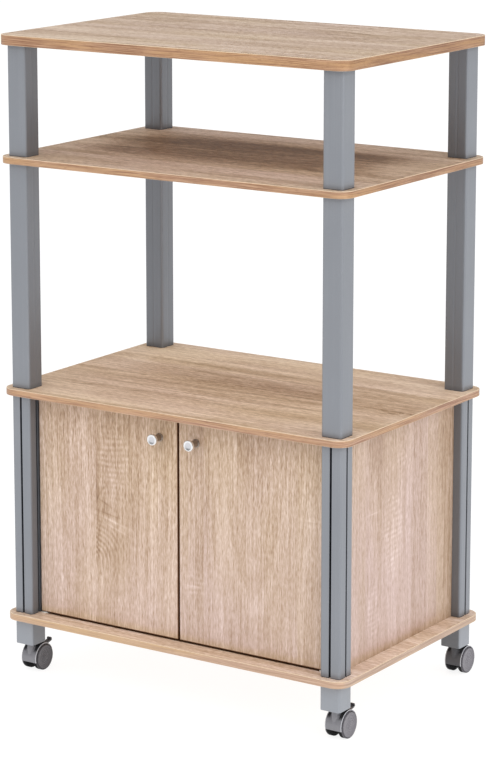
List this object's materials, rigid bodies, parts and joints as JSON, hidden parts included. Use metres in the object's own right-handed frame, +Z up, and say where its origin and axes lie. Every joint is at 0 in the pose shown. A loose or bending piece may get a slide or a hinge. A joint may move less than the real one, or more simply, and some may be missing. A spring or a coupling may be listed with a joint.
{
  "type": "microwave cart",
  "caption": "Wheeled kitchen cart with open shelves on square posts over a two-door cabinet, for a microwave oven.",
  "frame": {"origin": "on the floor, at the middle of the cart's outline in plan", "axes": "+Z up, +X to the right seen from the front, the doors face -Y"},
  "size_m": [0.6, 0.4066, 0.97],
  "materials": {
    "oak_board": "washed oak foil, satin",
    "edge_band": "satin edge band",
    "post_silver": "satin silver-grey coat",
    "foot_plastic": "satin moulded",
    "caster_plastic": "satin moulded",
    "wheel_plastic": "semi-gloss",
    "lever_plastic": "satin moulded",
    "dark_plastic": "matt moulded",
    "white_plastic": "satin moulded",
    "magnet": "ground ferrite",
    "steel": "zinc plated",
    "knob_metal": "satin nickel",
    "brass_insert": "turned"
  },
  "bodies": {
    "cart": {"top_board": "oak_board", "upper_shelf": "oak_board", "middle_shelf": "oak_board", "bottom_board": "oak_board", "edge_bands": "edge_band", "upper_post_front_left": "post_silver", "upper_post_front_right": "post_silver", "upper_post_back_left": "post_silver", "upper_post_back_right": "post_silver", "middle_post_front_left": "post_silver", "middle_post_front_right": "post_silver", "middle_post_back_left": "post_silver", "middle_post_back_right": "post_silver", "lower_post_front_left": "post_silver", "lower_post_front_right": "post_silver", "lower_post_back_left": "post_silver", "lower_post_back_right": "post_silver", "post_end_plugs": "dark_plastic", "joining_studs": "steel", "top_board_inserts": "brass_insert", "left_side_panel": "oak_board", "right_side_panel": "oak_board", "back_panel": "oak_board", "pivot_bushes": "white_plastic", "catch_housing": "white_plastic", "catch_magnets": "magnet", "catch_screws": "steel", "foot_front_left": "foot_plastic", "foot_front_right": "foot_plastic", "foot_back_left": "foot_plastic", "foot_back_right": "foot_plastic", "caster_stems": "steel"},
    "left_door_leaf": {"left_door": "oak_board", "left_knob": "knob_metal", "left_knob_screw": "steel", "left_door_pins": "steel", "left_strike_plate": "steel"},
    "right_door_leaf": {"right_door": "oak_board", "right_knob": "knob_metal", "right_knob_screw": "steel", "right_door_pins": "steel", "right_strike_plate": "steel"},
    "caster_front_left_body": {"caster_front_left": "caster_plastic", "axle_front_left": "steel"},
    "wheel_front_left_a_body": {"wheel_front_left_a": "wheel_plastic"},
    "wheel_front_left_b_body": {"wheel_front_left_b": "wheel_plastic"},
    "brake_lever_left_body": {"brake_lever_left": "lever_plastic"},
    "caster_front_right_body": {"caster_front_right": "caster_plastic", "axle_front_right": "steel"},
    "wheel_front_right_a_body": {"wheel_front_right_a": "wheel_plastic"},
    "wheel_front_right_b_body": {"wheel_front_right_b": "wheel_plastic"},
    "brake_lever_right_body": {"brake_lever_right": "lever_plastic"},
    "caster_back_left_body": {"caster_back_left": "caster_plastic", "axle_back_left": "steel"},
    "wheel_back_left_a_body": {"wheel_back_left_a": "wheel_plastic"},
    "wheel_back_left_b_body": {"wheel_back_left_b": "wheel_plastic"},
    "caster_back_right_body": {"caster_back_right": "caster_plastic", "axle_back_right": "steel"},
    "wheel_back_right_a_body": {"wheel_back_right_a": "wheel_plastic"},
    "wheel_back_right_b_body": {"wheel_back_right_b": "wheel_plastic"}
  },
  "joints": [
    {"name": "left_door_hinge", "type": "hinge", "parent": "cart", "child": "left_door_leaf", "pos_m": [-0.2473, -0.16725, 0.264], "axis": [0, 0, -1], "range_deg": [0, 95]},
    {"name": "right_door_hinge", "type": "hinge", "parent": "cart", "child": "right_door_leaf", "pos_m": [0.2473, -0.16725, 0.264], "axis": [0, 0, 1], "range_deg": [0, 95]},
    {"name": "front_left_swivel", "type": "hinge", "parent": "cart", "child": "caster_front_left_body", "pos_m": [-0.2715, -0.17475, 0.038], "axis": [0, 0, 1], "continuous": true},
    {"name": "front_left_wheel_a", "type": "hinge", "parent": "caster_front_left_body", "child": "wheel_front_left_a_body", "pos_m": [-0.2825, -0.15975, 0.02], "axis": [1, 0, 0], "continuous": true},
    {"name": "front_left_wheel_b", "type": "hinge", "parent": "caster_front_left_body", "child": "wheel_front_left_b_body", "pos_m": [-0.2605, -0.15975, 0.02], "axis": [1, 0, 0], "continuous": true},
    {"name": "left_brake", "type": "hinge", "parent": "caster_front_left_body", "child": "brake_lever_left_body", "pos_m": [-0.2715, -0.14975, 0.032], "axis": [-1, 0, 0], "range_deg": [0, 12]},
    {"name": "front_right_swivel", "type": "hinge", "parent": "cart", "child": "caster_front_right_body", "pos_m": [0.2715, -0.17475, 0.038], "axis": [0, 0, 1], "continuous": true},
    {"name": "front_right_wheel_a", "type": "hinge", "parent": "caster_front_right_body", "child": "wheel_front_right_a_body", "pos_m": [0.2605, -0.15975, 0.02], "axis": [1, 0, 0], "continuous": true},
    {"name": "front_right_wheel_b", "type": "hinge", "parent": "caster_front_right_body", "child": "wheel_front_right_b_body", "pos_m": [0.2825, -0.15975, 0.02], "axis": [1, 0, 0], "continuous": true},
    {"name": "right_brake", "type": "hinge", "parent": "caster_front_right_body", "child": "brake_lever_right_body", "pos_m": [0.2715, -0.14975, 0.032], "axis": [-1, 0, 0], "range_deg": [0, 12]},
    {"name": "back_left_swivel", "type": "hinge", "parent": "cart", "child": "caster_back_left_body", "pos_m": [-0.2715, 0.16825, 0.038], "axis": [0, 0, 1], "continuous": true},
    {"name": "back_left_wheel_a", "type": "hinge", "parent": "caster_back_left_body", "child": "wheel_back_left_a_body", "pos_m": [-0.2825, 0.18325, 0.02], "axis": [1, 0, 0], "continuous": true},
    {"name": "back_left_wheel_b", "type": "hinge", "parent": "caster_back_left_body", "child": "wheel_back_left_b_body", "pos_m": [-0.2605, 0.18325, 0.02], "axis": [1, 0, 0], "continuous": true},
    {"name": "back_right_swivel", "type": "hinge", "parent": "cart", "child": "caster_back_right_body", "pos_m": [0.2715, 0.16825, 0.038], "axis": [0, 0, 1], "continuous": true},
    {"name": "back_right_wheel_a", "type": "hinge", "parent": "caster_back_right_body", "child": "wheel_back_right_a_body", "pos_m": [0.2605, 0.18325, 0.02], "axis": [1, 0, 0], "continuous": true},
    {"name": "back_right_wheel_b", "type": "hinge", "parent": "caster_back_right_body", "child": "wheel_back_right_b_body", "pos_m": [0.2825, 0.18325, 0.02], "axis": [1, 0, 0], "continuous": true}
  ]
}
